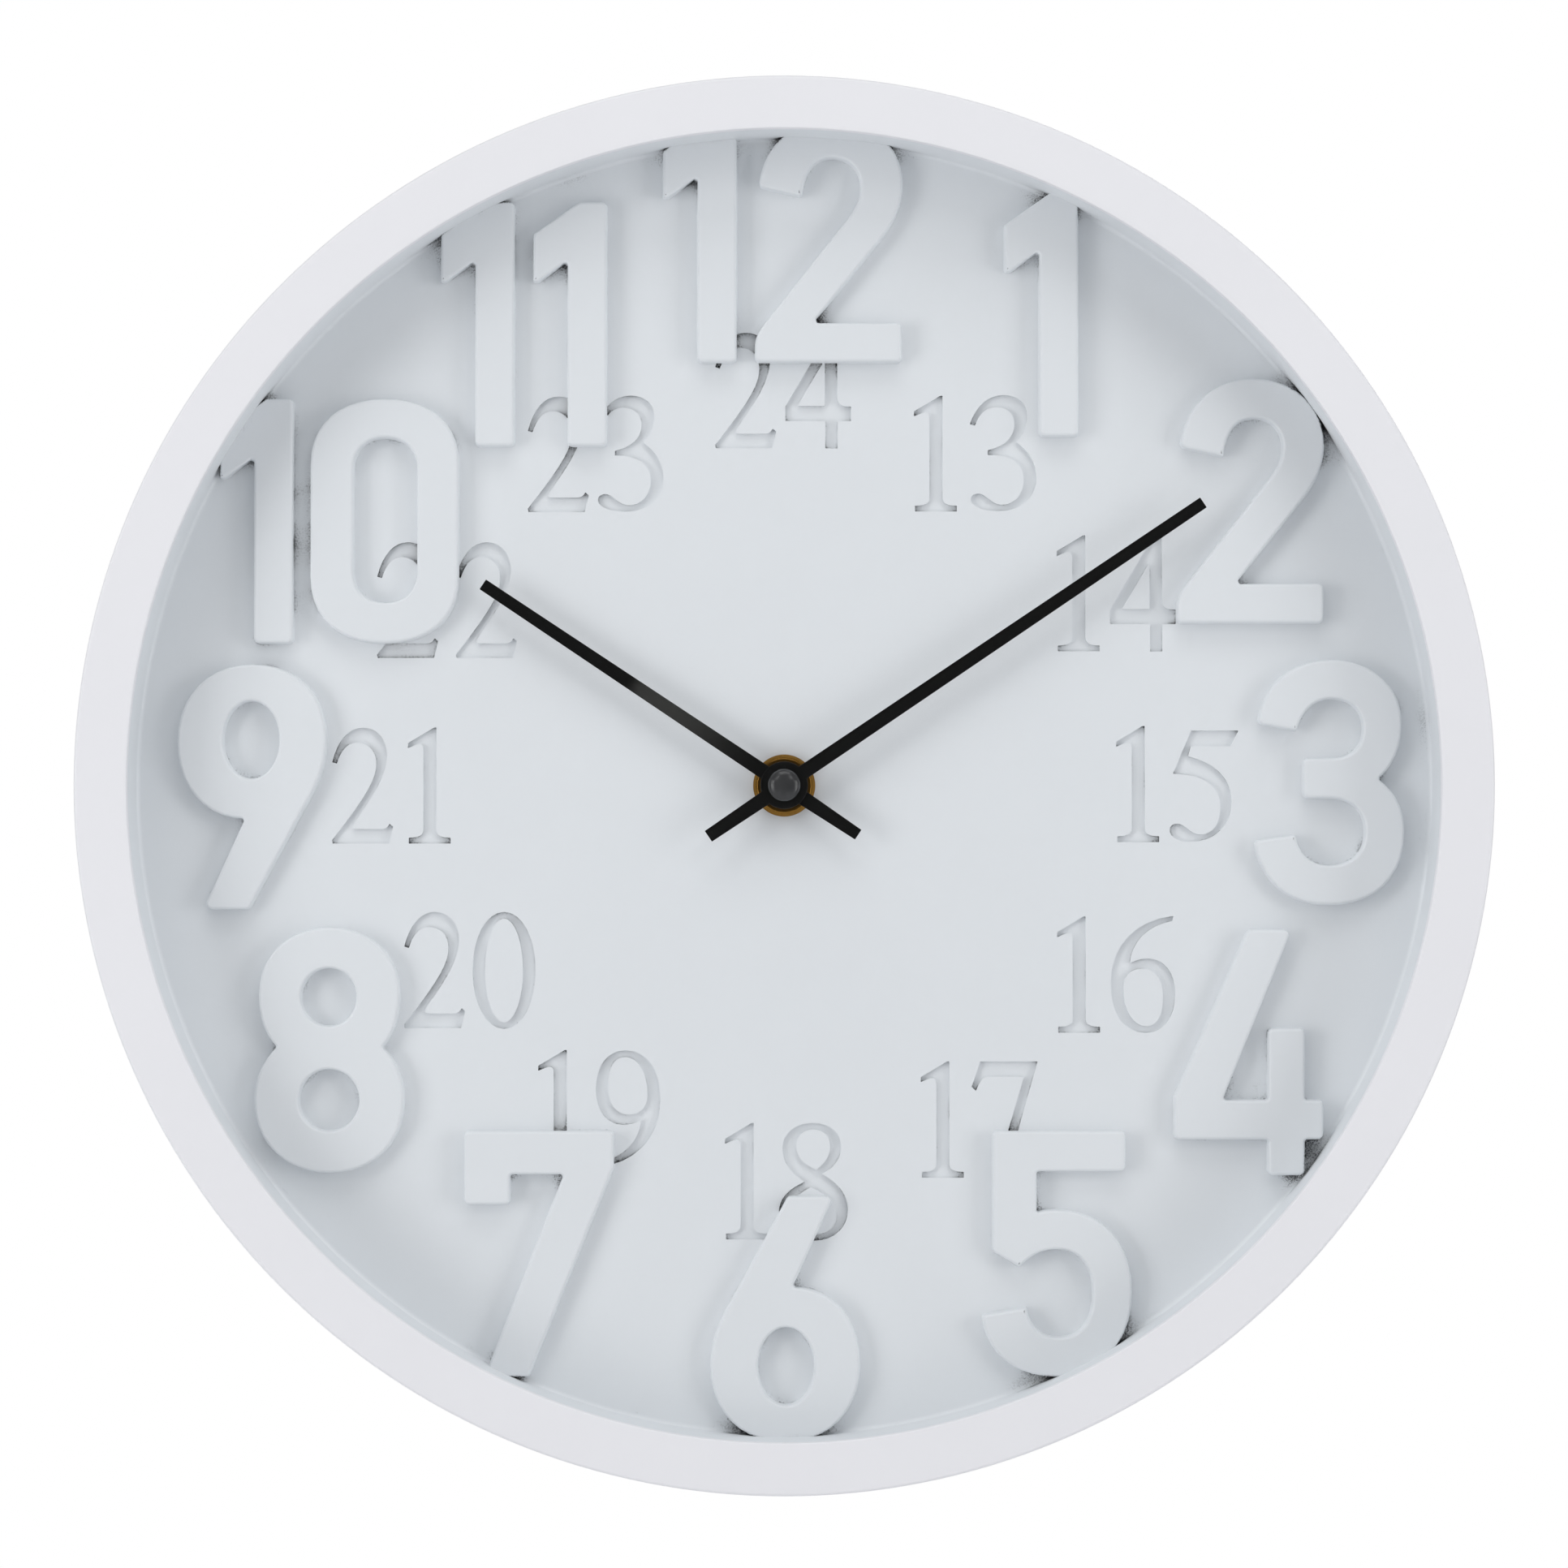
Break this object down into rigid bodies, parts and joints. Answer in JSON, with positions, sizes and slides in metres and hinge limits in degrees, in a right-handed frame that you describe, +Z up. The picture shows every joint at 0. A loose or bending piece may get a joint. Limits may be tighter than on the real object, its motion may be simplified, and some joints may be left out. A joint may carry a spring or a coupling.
{
  "type": "wall clock",
  "caption": "Round white wall clock with a deep dial, big raised hour figures, small engraved 24-hour figures, straight black hands and a rear quartz movement.",
  "frame": {"origin": "the spot on the wall straight behind the nail's bearing point in the hanger's slot; the hands' axis is 124 mm below it", "axes": "+Z up, the dial faces -Y, the wall is the plane Y = 0, +X is to the right as one faces the dial"},
  "size_m": [0.3, 0.04, 0.3],
  "materials": {
    "white_case": "moulded ABS, sprayed white, soft satin",
    "clear_lens": "clear flat glass, polished",
    "white_dial": "black moulding sprayed cool white, fine matt grain, thin in the tight corners",
    "black_paint": "satin black stove enamel on thin aluminium",
    "brass": "turned, satin",
    "steel": "zinc plated",
    "iron": "soft magnetic iron sheet",
    "black_plastic": "moulded black plastic, fine grain",
    "rubber": "black rubber",
    "acetal": "natural acetal",
    "battery_wrap": "plain printed sleeve, no text",
    "board": "green circuit board",
    "chip_resin": "black resin",
    "copper": "enamelled copper wire",
    "magnet": "moulded magnet"
  },
  "bodies": {
    "clock_body": {"case_ring": "white_case", "front_lens": "clear_lens", "dial": "white_dial", "hanger_plate": "steel", "rubber_gasket": "rubber", "flat_washer": "brass", "fixing_nut": "brass", "movement_housing": "black_plastic", "movement_rear_cover": "black_plastic", "battery": "battery_wrap", "contact_positive": "steel", "contact_negative": "steel", "circuit_board": "board", "quartz_crystal": "steel", "chip": "chip_resin", "stator": "iron", "coil_core": "iron", "coil_bobbin": "acetal", "coil_winding": "copper", "dial_screw_1": "steel", "dial_screw_2": "steel", "dial_screw_3": "steel", "dial_screw_4": "steel", "dial_screw_5": "steel", "dial_screw_6": "steel", "hanger_screw_1": "steel", "hanger_screw_2": "steel"},
    "minute": {"minute_hand": "black_paint", "hand_cap": "black_paint", "minute_arbor": "brass"},
    "hour": {"hour_hand": "black_paint", "hour_wheel": "acetal"},
    "motion_work": {"motion_wheel": "acetal", "set_knob": "black_plastic"},
    "rotor": {"rotor": "magnet"},
    "intermediate": {"intermediate_wheel": "acetal"},
    "fourth": {"fourth_wheel": "acetal"},
    "third": {"third_wheel": "acetal"},
    "centre": {"centre_wheel": "acetal"}
  },
  "joints": [
    {"name": "minute_turn", "type": "hinge", "parent": "clock_body", "child": "minute", "pos_m": [0, 0, -0.124], "axis": [0, 1, 0], "continuous": true},
    {"name": "hour_turn", "type": "hinge", "parent": "clock_body", "child": "hour", "pos_m": [0, 0, -0.124], "axis": [0, 1, 0], "continuous": true},
    {"name": "set_knob_turn", "type": "hinge", "parent": "clock_body", "child": "motion_work", "pos_m": [0.012, 0, -0.124], "axis": [0, 1, 0], "continuous": true},
    {"name": "rotor_turn", "type": "hinge", "parent": "clock_body", "child": "rotor", "pos_m": [-0.001, 0, -0.11169], "axis": [0, 1, 0], "continuous": true},
    {"name": "intermediate_turn", "type": "hinge", "parent": "clock_body", "child": "intermediate", "pos_m": [-0.00653, 0, -0.1137], "axis": [0, 1, 0], "continuous": true},
    {"name": "fourth_turn", "type": "hinge", "parent": "clock_body", "child": "fourth", "pos_m": [-0.01243, 0, -0.11783], "axis": [0, 1, 0], "continuous": true},
    {"name": "third_turn", "type": "hinge", "parent": "clock_body", "child": "third", "pos_m": [-0.01066, 0, -0.12788], "axis": [0, 1, 0], "continuous": true},
    {"name": "centre_turn", "type": "hinge", "parent": "clock_body", "child": "centre", "pos_m": [0, 0, -0.124], "axis": [0, 1, 0], "continuous": true}
  ],
  "couplings": [
    {"joint": "hour_turn", "follows": "minute_turn", "ratio": 0.083333},
    {"joint": "set_knob_turn", "follows": "minute_turn", "ratio": -0.25},
    {"joint": "intermediate_turn", "follows": "rotor_turn", "ratio": -0.16667},
    {"joint": "fourth_turn", "follows": "rotor_turn", "ratio": 0.033333},
    {"joint": "third_turn", "follows": "rotor_turn", "ratio": -0.0044444},
    {"joint": "centre_turn", "follows": "rotor_turn", "ratio": 0.00055556}
  ]
}
